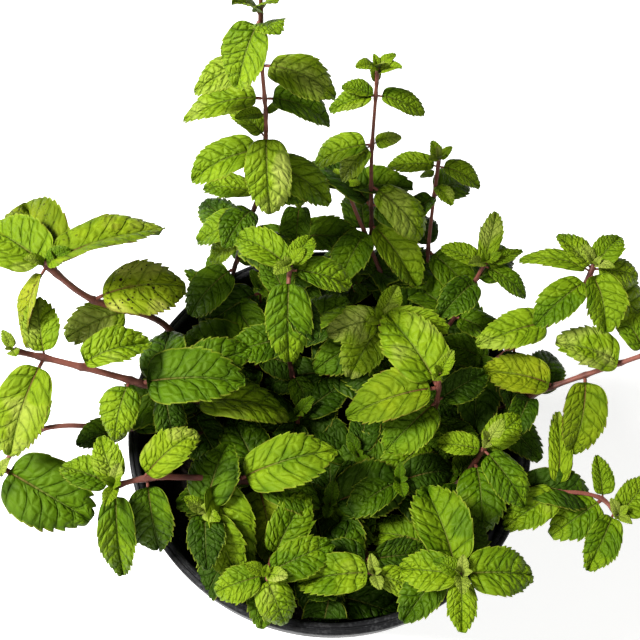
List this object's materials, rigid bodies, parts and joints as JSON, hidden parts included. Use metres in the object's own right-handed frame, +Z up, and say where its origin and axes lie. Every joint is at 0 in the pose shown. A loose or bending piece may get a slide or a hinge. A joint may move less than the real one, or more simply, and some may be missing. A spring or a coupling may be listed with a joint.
{
  "type": "potted mint plant",
  "caption": "Mint plant in a round plastic nursery pot: tapered pot with a rolled rim and drain holes, compost, leaning square stems with opposite toothed leaves.",
  "frame": {"origin": "middle of the pot's flat base", "axes": "+Z up, +Y towards the back, where the tallest stem stands; the lowest shoots lean over the rim along -X and +X"},
  "size_m": [0.4062, 0.2637, 0.4521],
  "materials": {
    "pot": "black moulded polypropylene, lightly scuffed at the rim",
    "compost": "dark crumbly bark and peat compost",
    "stem": "square purple-brown stem, slightly waxy",
    "leaf": "quilted green leaf, satin above and matt beneath"
  },
  "bodies": {
    "root": {"pot": "pot", "soil": "compost", "stem_tall_back_left": "stem", "leaf_tall_back_left_1": "leaf", "leaf_tall_back_left_2": "leaf", "leaf_tall_back_left_3": "leaf", "leaf_tall_back_left_4": "leaf", "leaf_tall_back_left_5": "leaf", "leaf_tall_back_left_6": "leaf", "leaf_tall_back_left_7": "leaf", "leaf_tall_back_left_8": "leaf", "stem_back_centre": "stem", "leaf_back_centre_1": "leaf", "leaf_back_centre_2": "leaf", "leaf_back_centre_3": "leaf", "stem_back_right": "stem", "leaf_back_right_1": "leaf", "leaf_back_right_2": "leaf", "stem_back_reddish": "stem", "stem_back_short": "stem", "stem_middle_left": "stem", "leaf_middle_left_1": "leaf", "leaf_middle_left_2": "leaf", "stem_left_upper": "stem", "leaf_left_upper_1": "leaf", "leaf_left_upper_2": "leaf", "leaf_left_upper_3": "leaf", "stem_left_middle": "stem", "leaf_left_middle_1": "leaf", "leaf_left_middle_2": "leaf", "leaf_left_middle_3": "leaf", "stem_left_lower": "stem", "leaf_left_lower_1": "leaf", "stem_left_front": "stem", "leaf_left_front_1": "leaf", "leaf_left_front_2": "leaf", "stem_right_back": "stem", "stem_right_upper": "stem", "leaf_right_upper_1": "leaf", "leaf_right_upper_2": "leaf", "stem_right_middle": "stem", "leaf_right_middle_1": "leaf", "leaf_right_middle_2": "leaf", "leaf_right_middle_3": "leaf", "stem_right_lower": "stem", "leaf_right_lower_1": "leaf", "leaf_right_lower_2": "leaf", "stem_centre_right": "stem", "leaf_centre_right_1": "leaf", "leaf_centre_right_2": "leaf", "stem_right_inner": "stem", "leaf_right_inner_1": "leaf", "stem_front_right": "stem", "leaf_front_right_1": "leaf", "leaf_front_right_2": "leaf", "stem_front_centre": "stem", "leaf_front_centre_1": "leaf", "stem_front_left": "stem", "stem_left_inner": "stem", "stem_middle_back": "stem"}
  },
  "joints": []
}
